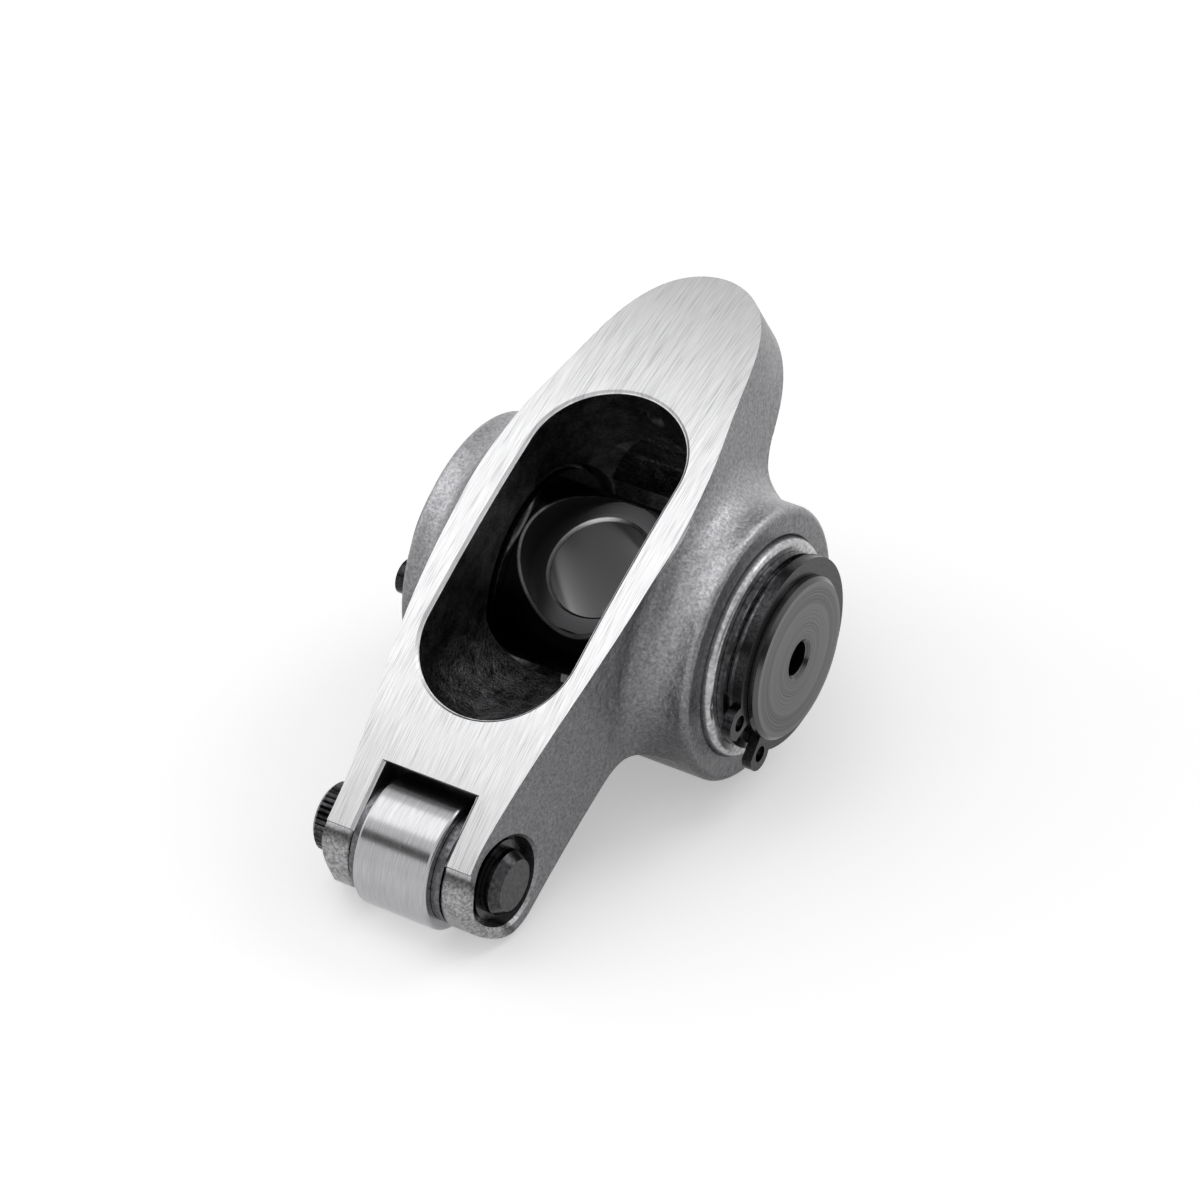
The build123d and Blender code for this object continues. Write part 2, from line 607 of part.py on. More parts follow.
right_bearing_shell.part.label = "right_bearing_shell"
export_step(right_bearing_shell.part, "parts/right_bearing_shell.step")

left_bearing_shell.part.label = "left_bearing_shell"
export_step(left_bearing_shell.part, "parts/left_bearing_shell.step")

right_needle_cage.part.label = "right_needle_cage"
export_step(right_needle_cage.part, "parts/right_needle_cage.step")

left_needle_cage.part.label = "left_needle_cage"
export_step(left_needle_cage.part, "parts/left_needle_cage.step")

right_needles.part.label = "right_needles"
export_step(right_needles.part, "parts/right_needles.step")

left_needles.part.label = "left_needles"
export_step(left_needles.part, "parts/left_needles.step")

right_inner_thrust_washer.part.label = "right_inner_thrust_washer"
export_step(right_inner_thrust_washer.part, "parts/right_inner_thrust_washer.step")

left_inner_thrust_washer.part.label = "left_inner_thrust_washer"
export_step(left_inner_thrust_washer.part, "parts/left_inner_thrust_washer.step")

right_outer_thrust_washer.part.label = "right_outer_thrust_washer"
export_step(right_outer_thrust_washer.part, "parts/right_outer_thrust_washer.step")

right_spacer_washer.part.label = "right_spacer_washer"
export_step(right_spacer_washer.part, "parts/right_spacer_washer.step")

right_circlip.part.label = "right_circlip"
export_step(right_circlip.part, "parts/right_circlip.step")

left_circlip.part.label = "left_circlip"
export_step(left_circlip.part, "parts/left_circlip.step")

tip_roller.part.label = "tip_roller"
export_step(tip_roller.part, "parts/tip_roller.step")

tip_needles.part.label = "tip_needles"
export_step(tip_needles.part, "parts/tip_needles.step")

right_tip_washer.part.label = "right_tip_washer"
export_step(right_tip_washer.part, "parts/right_tip_washer.step")

left_tip_washer.part.label = "left_tip_washer"
export_step(left_tip_washer.part, "parts/left_tip_washer.step")

tip_axle.part.label = "tip_axle"
export_step(tip_axle.part, "parts/tip_axle.step")

axle_retaining_ring.part.label = "axle_retaining_ring"
export_step(axle_retaining_ring.part, "parts/axle_retaining_ring.step")
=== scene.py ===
"""Roller rocker arm, dressed for its picture: steels by how each was made, a pale floor, soft light."""

import json
import logging
import math
from dataclasses import dataclass, field
from enum import Enum

import bmesh
import bpy
from mathutils import Matrix, Vector

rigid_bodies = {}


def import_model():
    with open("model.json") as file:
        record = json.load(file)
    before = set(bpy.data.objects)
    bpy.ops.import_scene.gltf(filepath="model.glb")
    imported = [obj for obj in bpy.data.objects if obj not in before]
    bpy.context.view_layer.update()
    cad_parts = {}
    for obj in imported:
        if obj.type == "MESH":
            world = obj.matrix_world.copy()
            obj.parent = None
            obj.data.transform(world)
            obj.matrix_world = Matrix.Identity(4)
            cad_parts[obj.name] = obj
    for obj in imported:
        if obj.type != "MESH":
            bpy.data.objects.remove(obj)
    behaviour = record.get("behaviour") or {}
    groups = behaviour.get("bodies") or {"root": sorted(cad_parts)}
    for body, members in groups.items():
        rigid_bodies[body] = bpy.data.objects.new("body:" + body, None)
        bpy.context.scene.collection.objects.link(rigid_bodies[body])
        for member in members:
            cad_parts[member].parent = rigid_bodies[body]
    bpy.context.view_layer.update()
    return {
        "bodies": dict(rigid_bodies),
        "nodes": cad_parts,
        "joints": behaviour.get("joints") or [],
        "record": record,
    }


log = logging.getLogger("rocker_arm")

MM = 0.001
# The tip roller's axle, from the trunnion's axis and along the arm's own directions
AXLE_REACH_MM = 36.9
AXLE_RISE_MM = 10.4
BOSS_RADIUS_MM = 15.15
ROLLER_RADIUS_MM = 7.1
# The arm lies pitched by this angle, so that its bosses and its roller both touch the floor
PITCH = math.atan2(AXLE_RISE_MM, AXLE_REACH_MM) + math.asin(
    (BOSS_RADIUS_MM - ROLLER_RADIUS_MM) / math.hypot(AXLE_REACH_MM, AXLE_RISE_MM)
)
# Nearly all of a noise lies between these two values
NOISE_LOW, NOISE_HIGH = 0.3, 0.7
WHITE = (1, 1, 1, 1)

Source = bpy.types.Node | bpy.types.NodeSocket
# Two values that belong together: in a fade, where it is nothing and where it is full
Span = tuple[float, float]
Place = tuple[float, float, float]
# Places from 0 to 1 along a ramp, each with its sRGB hex code
Stops = tuple[tuple[float, str], ...]


class Side(Enum):
    """Which end of the trunnion a piece sits at."""

    RIGHT = "right"
    LEFT = "left"


def linear(code: str) -> tuple[float, float, float, float]:
    """Linear colour of an sRGB hex code.

    Args:
        code: six hex digits, such as "8f8f91".

    Returns:
        The colour with full alpha.
    """
    parts = [int(code[i : i + 2], 16) / 255 for i in (0, 2, 4)]
    red, green, blue = (v / 12.92 if v <= 0.04045 else ((v + 0.055) / 1.055) ** 2.4 for v in parts)
    return red, green, blue, 1.0


def metres(span: Span) -> Span:
    """Turns both values of a span from millimetres to metres."""
    return span[0] * MM, span[1] * MM


def add(
    tree: bpy.types.NodeTree,
    kind: str,
    inputs: dict | tuple = (),
    stops: Stops = (),
    **settings: object,
) -> bpy.types.Node:
    """Adds a node with its settings, and sets or links its inputs.

    A Map Range node takes the value, the two ends of what it reads and the two ends of what it gives, which
    are 0 and 1 when left out. A Mix node takes its share as 0, numbers as 2 and 3, and colours as 6 and 7.

    Args:
        tree: the tree that takes the node.
        kind: the node's type name, without "ShaderNode" in front.
        inputs: values, outputs or nodes in the order of the inputs, or by an input's name or number. A node
            stands for its first output in use.
        stops: a colour ramp's stops.
        settings: attributes of the node.

    Returns:
        The new node.
    """
    node = tree.nodes.new(f"ShaderNode{kind}")
    for name, value in settings.items():
        setattr(node, name, value)
    for key, value in inputs.items() if isinstance(inputs, dict) else enumerate(inputs):
        if isinstance(value, bpy.types.Node):
            value = next(output for output in value.outputs if output.enabled)
        if isinstance(value, bpy.types.NodeSocket):
            tree.links.new(value, node.inputs[key])
        else:
            node.inputs[key].default_value = value
    if stops:
        steps = node.color_ramp.elements
        while len(steps) < len(stops):
            steps.new(0.5)
        for step, (place, code) in zip(steps, stops):
            step.position = place
            step.color = linear(code)
    return node


def new_material(name: str) -> tuple[bpy.types.Material, bpy.types.NodeTree]:
    """An empty node material.

    Args:
        name: the material's name.

    Returns:
        The material and its tree, with no nodes in it.
    """
    material = bpy.data.materials.new(name)
    material.use_nodes = True
    material.node_tree.nodes.clear()
    return material, material.node_tree


@dataclass(frozen=True)
class Steel:
    """A steel with a fine grain: two greys, how polished it is, and how large its grain is.

    The grain is drawn coarser than the metal's own, which is too fine to show. Its darker spots are a little
    rougher than the steel's own roughness, and its lighter ones smoother.
    """

    name: str
    light: str
    dark: str
    roughness: float
    grain_mm: float
    bump_mm: float = 0.0
    # How many times finer the grain is along each axis. A value below 1 draws it out into lines
    stretch: Place = (1.0, 1.0, 1.0)
    roughness_spread: Span = (1.2, 0.85)

    def build(self) -> bpy.types.Material:
        """The material, with its grain on object coordinates.

        Returns:
            A metal whose grey, roughness and relief vary with one noise.
        """
        material, tree = new_material(self.name)
        place = add(tree, "TexCoord").outputs["Object"]
        size = 1 / (self.grain_mm * MM)
        grid = add(tree, "Mapping", {"Vector": place, "Scale": tuple(size * s for s in self.stretch)})
        grain = add(tree, "TexNoise", {"Vector": grid, "Scale": 1.0, "Detail": 4.0})
        colour = add(tree, "ValToRGB", (grain,), ((NOISE_LOW, self.dark), (NOISE_HIGH, self.light)))
        ends = [self.roughness * share for share in self.roughness_spread]
        rough = add(tree, "MapRange", (grain, NOISE_LOW, NOISE_HIGH, *ends))
        surface = {"Base Color": colour, "Metallic": 1.0, "Roughness": rough}
        if self.bump_mm:
            relief = {"Height": grain, "Strength": 1.0, "Distance": self.bump_mm * MM}
            surface["Normal"] = add(tree, "Bump", relief)
        add(tree, "OutputMaterial", (add(tree, "BsdfPrincipled", surface),))
        return material


@dataclass(frozen=True)
class TurnedSteel:
    """Lathe-turned steel: fine rings about the trunnion's axis, and a seat round the stud's bore with painted
    highlights on its chamfer and rim and painted shade elsewhere.
    """

    name: str
    light: str
    dark: str
    roughness: float
    # Spacing of the tool's rings. A fine cut's feed is taken to be about 0.1 mm, and is drawn coarser to show
    ring_mm: float
    ring_relief_mm: float
    # Greys by distance from the stud's axis in millimetres: the bore, a painted highlight on its chamfer, the
    # seat for the nut painted dark, a painted highlight on the rim round it, and the barrel beyond painted
    # darker still, as shade in the window
    seat_painted_greys: Stops
    # The last of the seat's greys holds from here outwards
    seat_reach_mm: float
    # Distance from the middle at which the barrel's painted greys give way to the ends' rings
    barrel_mm: Span
    # Where the rings' two greys are reached in their noise, and how far the cutter's marks shade the seat
    ring_contrast: Span = (0.38, 0.62)
    seat_contrast: Span = (0.35, 0.65)
    seat_shade: Span = (0.7, 1.2)

    def build(self) -> bpy.types.Material:
        """The material, with its rings by distance from the axis.

        Returns:
            A metal with turned rings on its ends and fine bands on its journals.
        """
        material, tree = new_material(self.name)
        place = add(tree, "TexCoord").outputs["Object"]
        x, y, z = add(tree, "SeparateXYZ", (place,)).outputs
        flat = add(tree, "CombineXYZ", {0: x, 2: z})
        from_axis = add(tree, "VectorMath", (flat,), operation="LENGTH")
        rings = add(tree, "CombineXYZ", (from_axis, y))
        arm = add(tree, "Mapping", {"Vector": place, "Rotation": (0, -PITCH, 0)})
        level = add(tree, "VectorMath", (arm, (1, 1, 0)), operation="MULTIPLY")
        from_stud = add(tree, "VectorMath", (level,), operation="LENGTH")
        cuts = add(tree, "CombineXYZ", (from_stud,))
        marks = {"Scale": 1 / (self.ring_mm * MM), "Detail": 3.0, "Roughness": 0.7}
        turned = add(tree, "TexNoise", {"Vector": rings, **marks})
        faced = add(tree, "TexNoise", {"Vector": cuts, **marks})

        aside = add(tree, "Math", (y,), operation="ABSOLUTE")
        barrel = add(tree, "MapRange", (aside, *metres(self.barrel_mm)))
        low, high = self.ring_contrast
        end_grey = add(tree, "ValToRGB", (turned,), ((low, self.dark), (high, self.light)))
        share = add(tree, "Math", (from_stud, 1 / (self.seat_reach_mm * MM)), operation="MULTIPLY")
        # Painted highlights on the bore's chamfer and the seat's rim, painted shade on the seat and on the
        # barrel inside the window
        greys = tuple((radius / self.seat_reach_mm, code) for radius, code in self.seat_painted_greys)
        seat_painted_grey = add(tree, "ValToRGB", (share,), greys)
        shade = add(tree, "MapRange", (faced, *self.seat_contrast, *self.seat_shade))
        seat = add(tree, "VectorMath", (seat_painted_grey, shade), operation="MULTIPLY")
        colour = add(tree, "Mix", {0: barrel, 6: end_grey, 7: seat}, data_type="RGBA")
        height = add(tree, "Mix", {0: barrel, 2: turned, 3: faced}, data_type="FLOAT")
        relief = {"Height": height, "Strength": 1.0, "Distance": self.ring_relief_mm * MM}
        surface = {
            "Base Color": colour,
            "Metallic": 1.0,
            "Roughness": self.roughness,
            "Normal": add(tree, "Bump", relief),
        }
        add(tree, "OutputMaterial", (add(tree, "BsdfPrincipled", surface),))
        return material


@dataclass(frozen=True)
class CastAndGround:
    """Investment-cast steel in four finishes: blasted, ground on top, rough in the window, tumbled ears. The
    window is painted dark as the shade of its recess, and what faces up is painted lighter.

    Lengths are in millimetres along the arm's own directions, from the trunnion's axis.
    """

    name: str
    blasted: Stops
    ground: Stops
    window: Stops
    ears: Stops
    # Roughness at the low and the high end of a finish's noise, or one value where it hardly varies
    blasted_rough: Span
    ground_rough: Span
    window_rough: float
    ears_rough: float

    # The ground face's crown: its height, where along the arm it is highest, and its radius
    crown_mm: float
    crown_at_mm: float
    crown_radius_mm: float
    # How far a surface has to face up the arm to be ground, and how deep the face's broken edge reaches
    face_facing: Span
    face_depth_mm: Span

    # The window's two ends, half its width, and how it fades at its outline and below the ground face
    window_ends_mm: Span
    window_half_mm: float
    window_edge_mm: Span
    window_depth_mm: Span
    # Below the window's floor only two places are still in it. One is the pocket round the trunnion, by its
    # radius. The other is the ramp, by its slope, the height of its plane at the trunnion's axis, a fade
    # under that plane, and where along the arm it starts
    floor_mm: Span
    pocket_mm: Span
    ramp_slope: float
    ramp_foot_mm: float
    ramp_skin_mm: Span
    ramp_start_mm: Span

    # Where the ground stops and the ears' noses start, and a band painted darker across the ears' start, with
    # how much of their grey it keeps
    ears_mm: Span
    dark_band_mm: Span
    dark_band_factor: Span

    # Sizes of the blast's marks and of the mould's lumps, and the width and length of the brush's lines.
    # Marks are taken to be about 0.15 mm and lines about 0.05 mm wide, as is usual for such finishes, not
    # measured on this arm, and both are drawn coarser to show
    grit_mm: float
    lump_mm: float
    brush_mm: Span
    # Height of the blast's marks
    relief_mm: float
    # Heights of the lumps, of the window's extra grit and of the brush's lines, as multiples of the blast's
    lump_height: float
    window_grit_height: float
    brush_height: float
    # How far a surface faces up, and how much brighter painted light makes it, with walls and undersides
    # painted darker
    painted_light_facing: Span
    painted_top_light: Span

    def on_face(self, tree: bpy.types.NodeTree, depth: Source, normal: Source) -> bpy.types.Node:
        """Tells the ground face and its broken edge from the rest.

        Args:
            tree: the tree that takes the nodes.
            depth: depth below the crown in metres.
            normal: the surface's direction.

        Returns:
            1 on the ground face.
        """
        up = (math.sin(PITCH), 0, math.cos(PITCH))
        facing = add(tree, "VectorMath", (normal, up), operation="DOT_PRODUCT")
        level = add(tree, "MapRange", (facing, *self.face_facing))
        shallow = add(tree, "MapRange", (depth, *metres(self.face_depth_mm)))
        return add(tree, "Math", (level, shallow), operation="MULTIPLY")

    def in_window(self, tree: bpy.types.NodeTree, depth: Source, spot: list[Source]) -> bpy.types.Node:
        """Tells the window's wall, floor and ramp from the arm's outside.

        Args:
            tree: the tree that takes the nodes.
            depth: depth below the crown in metres.
            spot: place along the arm, across it and up from it.

        Returns:
            1 in the window.
        """
        x, y, z = spot
        # In plan, the window's outline is a line between its two round ends, widened by half its width
        back, front = self.window_ends_mm
        from_middle = add(tree, "Math", (x, (back + front) / 2 * MM), operation="SUBTRACT")
        away = add(tree, "Math", (from_middle,), operation="ABSOLUTE")
        half_line = ((front - back) / 2 - self.window_half_mm) * MM
        past_line = add(tree, "Math", (away, half_line), operation="SUBTRACT")
        past_end = add(tree, "Math", (past_line, 0.0), operation="MAXIMUM")
        offset = add(tree, "CombineXYZ", (past_end, y))
        reach = add(tree, "VectorMath", (offset,), operation="LENGTH")
        outside = add(tree, "Math", (reach, self.window_half_mm * MM), operation="SUBTRACT")
        in_plan = add(tree, "MapRange", (outside, *metres(self.window_edge_mm)))
        below = add(tree, "MapRange", (depth, *metres(self.window_depth_mm)))
        inside = add(tree, "Math", (in_plan, below), operation="MULTIPLY")

        # The round of the bosses and the beam's underside lie below the window too, and are blasted
        over_floor = add(tree, "MapRange", (z, *metres(self.floor_mm)))
        side_view = add(tree, "CombineXYZ", {0: x, 2: z})
        radius = add(tree, "VectorMath", (side_view,), operation="LENGTH")
        in_pocket = add(tree, "MapRange", (radius, *metres(self.pocket_mm)))
        lean = add(tree, "Math", (x, -self.ramp_slope, z), operation="MULTIPLY_ADD")
        low, high = self.ramp_skin_mm
        near_ramp = metres((self.ramp_foot_mm + low, self.ramp_foot_mm + high))
        over_ramp = add(tree, "MapRange", (lean, *near_ramp))
        ahead = add(tree, "MapRange", (x, *metres(self.ramp_start_mm)))
        on_ramp = add(tree, "Math", (over_ramp, ahead), operation="MULTIPLY")
        hollow = add(tree, "Math", (over_floor, in_pocket), operation="MAXIMUM")
        within = add(tree, "Math", (hollow, on_ramp), operation="MAXIMUM")
        return add(tree, "Math", (inside, within), operation="MULTIPLY")

    def build(self) -> bpy.types.Material:
        """The material, with its finishes told apart by place on the arm.

        Returns:
            One metal that is brushed on top, matt on the flanks with painted light where they face up, and
            painted dark in the window as its shade.
        """
        material, tree = new_material(self.name)
        source = add(tree, "TexCoord")
        place, normal = source.outputs["Object"], source.outputs["Normal"]
        arm = add(tree, "Mapping", {"Vector": place, "Rotation": (0, -PITCH, 0)})
        x, y, z = add(tree, "SeparateXYZ", (arm,)).outputs

        along = add(tree, "Math", (x, self.crown_at_mm * MM), operation="SUBTRACT")
        square = add(tree, "Math", (along, 2.0), operation="POWER")
        sag = add(tree, "Math", (square, 1 / (2 * self.crown_radius_mm * MM)), operation="MULTIPLY")
        crown = add(tree, "Math", (self.crown_mm * MM, sag), operation="SUBTRACT")
        depth = add(tree, "Math", (crown, z), operation="SUBTRACT")
        face = self.on_face(tree, depth, normal)
        window = self.in_window(tree, depth, [x, y, z])
        ears = add(tree, "MapRange", (x, *metres(self.ears_mm)))

        # Grit of the blasting, coarser lumps of the mould, and the brush's lines along the arm
        grit_size = {"Scale": 1 / (self.grit_mm * MM), "Detail": 5.0, "Roughness": 0.65}
        grit = add(tree, "TexNoise", {"Vector": place, **grit_size})
        lumps = add(tree, "TexNoise", {"Vector": place, "Scale": 1 / (self.lump_mm * MM), "Detail": 3.0})
        width, length = metres(self.brush_mm)
        lines = add(tree, "Mapping", {"Vector": arm, "Scale": (1 / length, 1 / width, 1 / length)})
        brush = add(tree, "TexNoise", {"Vector": lines, "Scale": 1.0, "Detail": 2.0, "Roughness": 0.6})

        # Painted light: surfaces that face up are painted brighter than walls and undersides, as if lit from
        # above
        up = add(tree, "SeparateXYZ", (normal,)).outputs[2]
        painted_top_light = add(tree, "MapRange", (up, *self.painted_light_facing, *self.painted_top_light))
        speckle = add(tree, "ValToRGB", (grit,), self.blasted)
        flank_painted_grey = add(tree, "VectorMath", (speckle, painted_top_light), operation="MULTIPLY")
        tumbled = add(tree, "ValToRGB", (grit,), self.ears)
        # A band painted darker across the start of the ears
        dark_band = add(tree, "MapRange", (x, *metres(self.dark_band_mm), *self.dark_band_factor))
        ears_grey = add(tree, "VectorMath", (tumbled, dark_band), operation="MULTIPLY")
        mottle = add(tree, "Math", (grit, lumps), operation="ADD")
        blotch = add(tree, "Math", (mottle, 0.5), operation="MULTIPLY")
        # Painted shade: the window's greys are dark as the shade of its recess
        window_painted_shade = add(tree, "ValToRGB", (blotch,), self.window)
        face_grey = add(tree, "ValToRGB", (brush,), self.ground)

        # Each finish is laid over those before it, in its own place
        face_rough = add(tree, "MapRange", (brush, NOISE_LOW, NOISE_HIGH, *self.ground_rough))
        colour = flank_painted_grey
        rough = add(tree, "MapRange", (grit, NOISE_LOW, NOISE_HIGH, *self.blasted_rough))
        for where, grey, gloss in (
            (ears, ears_grey, self.ears_rough),
            (window, window_painted_shade, self.window_rough),
            (face, face_grey, face_rough),
        ):
            colour = add(tree, "Mix", {0: where, 6: colour, 7: grey}, data_type="RGBA")
            rough = add(tree, "Mix", {0: where, 2: rough, 3: gloss}, data_type="FLOAT")

        cast = add(tree, "Math", (lumps, self.lump_height, grit), operation="MULTIPLY_ADD")
        unblasted = add(tree, "Math", (window, grit), operation="MULTIPLY")
        rougher = add(tree, "Math", (unblasted, self.window_grit_height, cast), operation="MULTIPLY_ADD")
        brushed = add(tree, "Math", (brush, self.brush_height), operation="MULTIPLY")
        height = add(tree, "Mix", {0: face, 2: rougher, 3: brushed}, data_type="FLOAT")
        relief = {"Height": height, "Strength": 1.0, "Distance": self.relief_mm * MM}
        surface = {
            "Base Color": colour,
            "Metallic": 1.0,
            "Roughness": rough,
            "Normal": add(tree, "Bump", relief),
        }
        add(tree, "OutputMaterial", (add(tree, "BsdfPrincipled", surface),))
        return material


def dress(frame: dict, node: str, material: bpy.types.Material) -> None:
    """Gives a node of the model its material.

    Args:
        frame: the loaded model.
        node: the node's name.
        material: what it is made of.
    """
    mesh = frame["nodes"][node].data
    mesh.materials.clear()
    mesh.materials.append(material)
    log.info("%s: %s", node, material.name)


@dataclass
class Arm:
    """The casting and what is pressed into it."""

    # Cast alloy steel, bead-blasted after casting: a soft grey speckle. Its top face is belt-ground and
    # brushed, which draws fine bright lines along the arm. The blast doesn't reach down into the window,
    # which keeps the mould's lumpy skin, and the window is painted dark as the shade of its recess. The ears'
    # noses are tumbled, so they shine more
    casting: CastAndGround = field(
        default_factory=lambda: CastAndGround(
            name="blasted_and_brushed_cast_steel",
            blasted=((NOISE_LOW, "58585a"), (NOISE_HIGH, "828284")),
            ground=((0.3, "9e9e9f"), (0.44, "bababb"), (0.62, "c8c8c9")),
            # The window's greys are painted shade of its recess
            window=((0.4, "262627"), (0.66, "707072")),
            ears=((0.35, "666667"), (0.65, "acacad")),
            blasted_rough=(0.42, 0.3),
            ground_rough=(0.4, 0.28),
            window_rough=0.36,
            ears_rough=0.27,
            crown_mm=18.5,
            crown_at_mm=12.0,
            crown_radius_mm=170.0,
            face_facing=(0.25, 0.5),
            face_depth_mm=(0.42, 0.25),
            window_ends_mm=(-15.8, 24.3),
            window_half_mm=8.8,
            window_edge_mm=(0.08, 0.02),
            window_depth_mm=(0.3, 0.7),
            floor_mm=(5.5, 5.8),
            pocket_mm=(14.8, 14.5),
            ramp_slope=0.7535,
            ramp_foot_mm=-6.81,
            ramp_skin_mm=(-1.3, -1.0),
            ramp_start_mm=(5.0, 6.0),
            ears_mm=(39.4, 40.0),
            # A band painted darker where the ears start
            dark_band_mm=(39.9, 41.1),
            dark_band_factor=(0.22, 1.0),
            grit_mm=0.35,
            lump_mm=1.6,
            brush_mm=(0.09, 4.5),
            relief_mm=0.055,
            lump_height=3.5,
            window_grit_height=2.0,
            brush_height=0.15,
            # Painted light: brighter where a surface faces up, painted shade on walls and undersides
            painted_light_facing=(-0.2, 0.85),
            painted_top_light=(0.7, 2.2),
        )
    )
    # Bearing steel, deep-drawn to a cup: bright and smooth, with a faint satin grain
    drawn: Steel = Steel("drawn_bearing_steel", "c9c9ca", "8d8d8f", 0.3, 0.5)

    def dress(self, frame: dict) -> None:
        """Gives the casting and the shells their finishes.

        Args:
            frame: the loaded model.
        """
        dress(frame, "rocker_body", self.casting.build())
        drawn = self.drawn.build()
        for side in Side:
            dress(frame, f"{side.value}_bearing_shell", drawn)


@dataclass
class TrunnionGroup:
    """The trunnion and what turns with it: washers and snap rings."""

    # Case-hardened steel, turned and oiled: dull dark rings on its ends, and a seat and barrel painted dark
    # as shade in the window, between painted highlights on the chamfer and rim
    turned: TurnedSteel = TurnedSteel(
        name="fine_turned_steel",
        light="656566",
        dark="3e3e3f",
        roughness=0.24,
        ring_mm=0.17,
        ring_relief_mm=0.012,
        # Painted highlights on the chamfer and rim, painted shade on the seat and the barrel
        seat_painted_greys=(
            (0.0, "626263"),
            (5.68, "626263"),
            (5.73, "c8c8c9"),
            (5.98, "c8c8c9"),
            (6.06, "39393a"),
            (7.9, "2c2c2d"),
            (7.93, "c4c4c5"),
            (8.2, "c4c4c5"),
            (8.3, "242425"),
            (10.0, "1a1a1b"),
        ),
        seat_reach_mm=10.0,
        barrel_mm=(8.9, 8.8),
    )
    # Hardened washer steel, stamped and oiled: dark, flat and glossy
    washer: Steel = Steel("oiled_washer_steel", "6c6c6e", "39393b", 0.2, 0.5)
    # Spring steel, stamped and phosphated: near black, with a fine dry tooth
    spring: Steel = Steel("phosphated_spring_steel", "3a3a3c", "202021", 0.24, 0.3, 0.004)

    def dress(self, frame: dict) -> None:
        """Gives the turned, flat and spring pieces their finishes.

        Args:
            frame: the loaded model.
        """
        dress(frame, "trunnion", self.turned.build())
        washer = self.washer.build()
        spring = self.spring.build()
        for side in Side:
            dress(frame, f"{side.value}_inner_thrust_washer", washer)
            dress(frame, f"{side.value}_circlip", spring)
        for ring in ("outer_thrust_washer", "spacer_washer"):
            dress(frame, f"{Side.RIGHT.value}_{ring}", washer)


@dataclass
class NeedleBearings:
    """Cages and needles inside the shells."""

    # Mild steel strip, pressed to a cage: mid grey and satin
    cage: Steel = Steel("pressed_cage_steel", "8a8a8c", "5c5c5e", 0.4, 0.5)
    # Bearing steel, ground and polished: the brightest pieces, with sharp reflections
    needle: Steel = Steel("polished_needle_steel", "cfcfd0", "a0a0a2", 0.16, 0.8)

    def dress(self, frame: dict) -> None:
        """Gives cages and needles their finishes.

        Args:
            frame: the loaded model.
        """
        cage = self.cage.build()
        needle = self.needle.build()
        for side in Side:
            dress(frame, f"{side.value}_needle_cage", cage)
            dress(frame, f"{side.value}_needles", needle)
        dress(frame, "tip_needles", needle)


@dataclass
class RollerTip:
    """The tip roller with its axle, ring and washers."""

    # Bearing steel, ground while it turned: bright, with lines round the roller, each drawn wider than the
    # wheel's own scratches so that they show
    ground: Steel = Steel("ground_roller_steel", "b4b4b6", "a2a2a4", 0.2, 0.12, 0.0, (0.05, 1.0, 0.05))
    # Hardened steel, blackened: dark and glossy
    axle: Steel = Steel("blackened_axle_steel", "48484a", "2a2a2b", 0.18, 0.4)
    # Hardened steel washers, ground flat: mid grey and satin
    washer: Steel = Steel("ground_thrust_steel", "77777a", "4a4a4c", 0.35, 0.4)

    def dress(self, frame: dict) -> None:
        """Gives the roller and its hardware their finishes.

        Args:
            frame: the loaded model.
        """
        dress(frame, "tip_roller", self.ground.build())
        axle = self.axle.build()
        dress(frame, "tip_axle", axle)
        dress(frame, "axle_retaining_ring", axle)
        washer = self.washer.build()
        for side in Side:
            dress(frame, f"{side.value}_tip_washer", washer)


@dataclass(frozen=True)
class Lamp:
    """A soft square lamp that looks at the part: its place and side in metres, its power in watts."""

    name: str
    place: Place
    side: float
    power: float

    def hang(self) -> None:
        """Puts the lamp in the scene."""
        light = bpy.data.lights.new(self.name, "AREA")
        light.shape = "SQUARE"
        light.size = self.side
        light.energy = self.power
        lamp = bpy.data.objects.new(self.name, light)
        lamp.location = self.place
        lamp.rotation_euler = (-Vector(self.place)).to_track_quat("-Z", "Y").to_euler()
        bpy.context.scene.collection.objects.link(lamp)


def sheet(name: str, half_side: float, matrix: Matrix, material: bpy.types.Material) -> bpy.types.Object:
    """A flat square of the studio, moved and stretched into place.

    Args:
        name: the sheet's name.
        half_side: half its side before it is stretched, in metres.
        matrix: how it is stretched, turned and placed.
        material: what it is made of.

    Returns:
        The sheet, linked to the scene.
    """
    mesh = bpy.data.meshes.new(name)
    square = bmesh.new()
    bmesh.ops.create_grid(square, x_segments=1, y_segments=1, size=half_side)
    bmesh.ops.transform(square, verts=square.verts, matrix=matrix)
    square.to_mesh(mesh)
    square.free()
    mesh.materials.append(material)
    piece = bpy.data.objects.new(name, mesh)
    bpy.context.scene.collection.objects.link(piece)
    return piece


@dataclass(frozen=True)
class Card:
    """A dark card that only the metal's reflections show, as beside a studio shot of steel, in metres."""

    name: str
    place: Place
    width: float
    height: float
    # Pressed card, painted: matt and dark grey, so that the steel takes a darker tone from it
    grey: str = "4c4c4c"

    def stand(self) -> None:
        """Puts the card in the scene, facing the part."""
        material, tree = new_material(f"{self.name}_black_card")
        shader = add(tree, "BsdfDiffuse", {"Color": linear(self.grey)})
        add(tree, "OutputMaterial", (shader,))
        turn = Vector(self.place).to_track_quat("Z", "Y").to_matrix().to_4x4()
        stretch = Matrix.Diagonal((self.width, self.height, 1, 1))
        matrix = Matrix.Translation(self.place) @ turn @ stretch
        piece = sheet(self.name, half_side=0.5, matrix=matrix, material=material)
        piece.visible_camera = False
        piece.visible_diffuse = False
        piece.visible_shadow = False


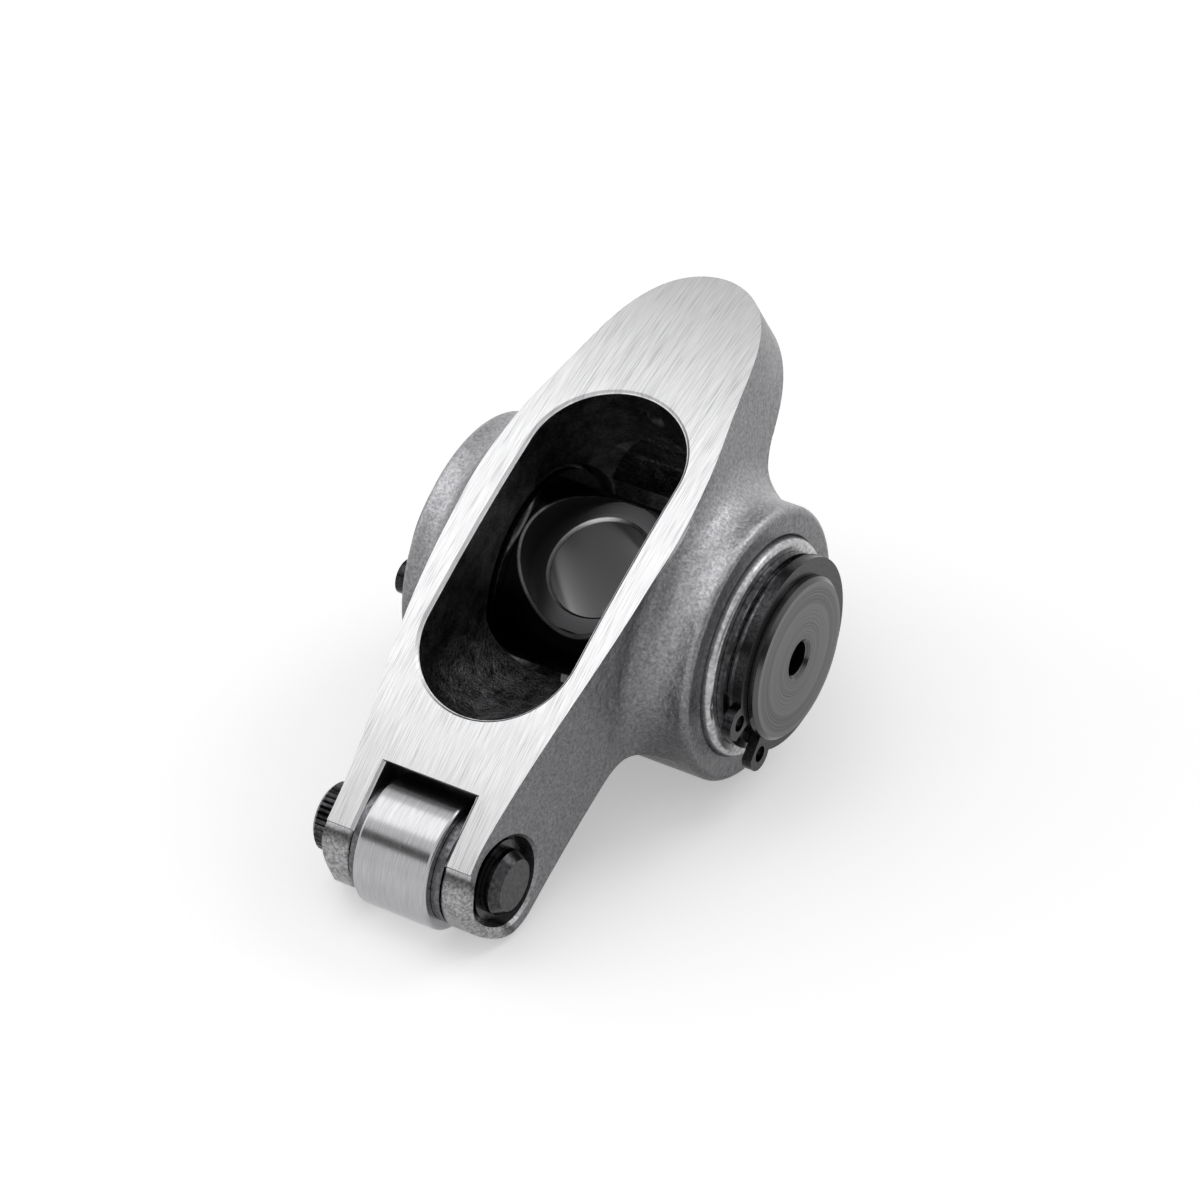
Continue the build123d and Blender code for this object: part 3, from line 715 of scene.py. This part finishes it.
@dataclass
class Studio:
    """Pale floor, dark cards for the metal to reflect, soft lamps and the camera."""

    floor_half_side: float = 3.0
    # Background paper, rolled smooth: matt white, with a little glow where it is looked at, as if over-lit
    floor_paper: str = "fafafa"
    floor_glow: float = 0.37
    # The sky's strength where it only lights, and where the camera or a reflection looks
    sky: Span = (0.45, 1.0)
    camera_mm: Place = (371.313, 236.455, 339.749)
    camera_turn_deg: Place = (52.2685, 1.3517, 121.6735)
    lens_mm: float = 157.543
    sensor_mm: float = 36.0
    near_m: float = 0.01
    lamps: tuple[Lamp, ...] = (
        Lamp("top_softbox", (0.05, -0.20, 0.55), 0.40, 0.55),
        Lamp("left_softbox", (0.15, -0.55, 0.35), 0.35, 0.45),
        Lamp("back_softbox", (-0.35, 0.25, 0.42), 0.25, 0.42),
    )
    cards: tuple[Card, ...] = (
        Card("card_behind", (-0.36, -0.26, 0.40), 0.3, 0.14),
        Card("card_right", (0.06, 0.42, 0.10), 0.44, 0.17),
        Card("card_front", (0.37, -0.21, 0.24), 0.22, 0.12),
    )

    def looked_at(self, tree: bpy.types.NodeTree) -> bpy.types.Node:
        """Tells a look from light: the camera, a reflection or a view through glass.

        Args:
            tree: the tree that takes the nodes.

        Returns:
            1 for a ray that looks, and 0 for one that only carries light.
        """
        rays = add(tree, "LightPath").outputs
        direct = (rays["Is Camera Ray"], rays["Is Transmission Ray"])
        straight = add(tree, "Math", direct, operation="MAXIMUM")
        return add(tree, "Math", (straight, rays["Is Glossy Ray"]), operation="MAXIMUM")

    def floor(self) -> None:
        """A large pale sheet that keeps the object's shadow."""
        material, tree = new_material("pale_paper")
        paper = add(tree, "BsdfDiffuse", {"Color": linear(self.floor_paper)})
        glow = add(tree, "Emission", {"Color": WHITE, "Strength": self.floor_glow})
        lit = add(tree, "AddShader", (paper, glow))
        surface = add(tree, "MixShader", (self.looked_at(tree), paper, lit))
        add(tree, "OutputMaterial", (surface,))
        under_bosses = Matrix.Translation((0, 0, -BOSS_RADIUS_MM * MM))
        sheet("studio_floor", self.floor_half_side, under_bosses, material)

    def world(self) -> None:
        """White where the camera or a reflection looks, dimmer where it lights."""
        world = bpy.data.worlds.new("studio")
        bpy.context.scene.world = world
        world.use_nodes = True
        tree = world.node_tree
        tree.nodes.clear()
        strength = add(tree, "MapRange", (self.looked_at(tree), 0.0, 1.0, *self.sky))
        background = add(tree, "Background", {"Color": WHITE, "Strength": strength})
        add(tree, "OutputWorld", (background,))

    def camera(self) -> None:
        """The photograph's view."""
        data = bpy.data.cameras.new("camera")
        data.lens = self.lens_mm
        data.sensor_width = self.sensor_mm
        data.clip_start = self.near_m
        camera = bpy.data.objects.new("camera", data)
        camera.location = Vector(self.camera_mm) * MM
        camera.rotation_euler = tuple(math.radians(a) for a in self.camera_turn_deg)
        bpy.context.scene.collection.objects.link(camera)
        bpy.context.scene.camera = camera

    def build(self) -> None:
        """Builds the whole set."""
        self.floor()
        self.world()
        for lamp in self.lamps:
            lamp.hang()
        for card in self.cards:
            card.stand()
        self.camera()
        bpy.context.scene.view_settings.view_transform = "Standard"


def main() -> None:
    """Loads the model, dresses each sub-assembly and sets the studio."""
    logging.basicConfig(level=logging.INFO, format="%(message)s")
    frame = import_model()
    for group in (Arm(), TrunnionGroup(), NeedleBearings(), RollerTip()):
        group.dress(frame)
        log.info("dressed %s", type(group).__name__)
    Studio().build()


if __name__ == "__main__":
    main()
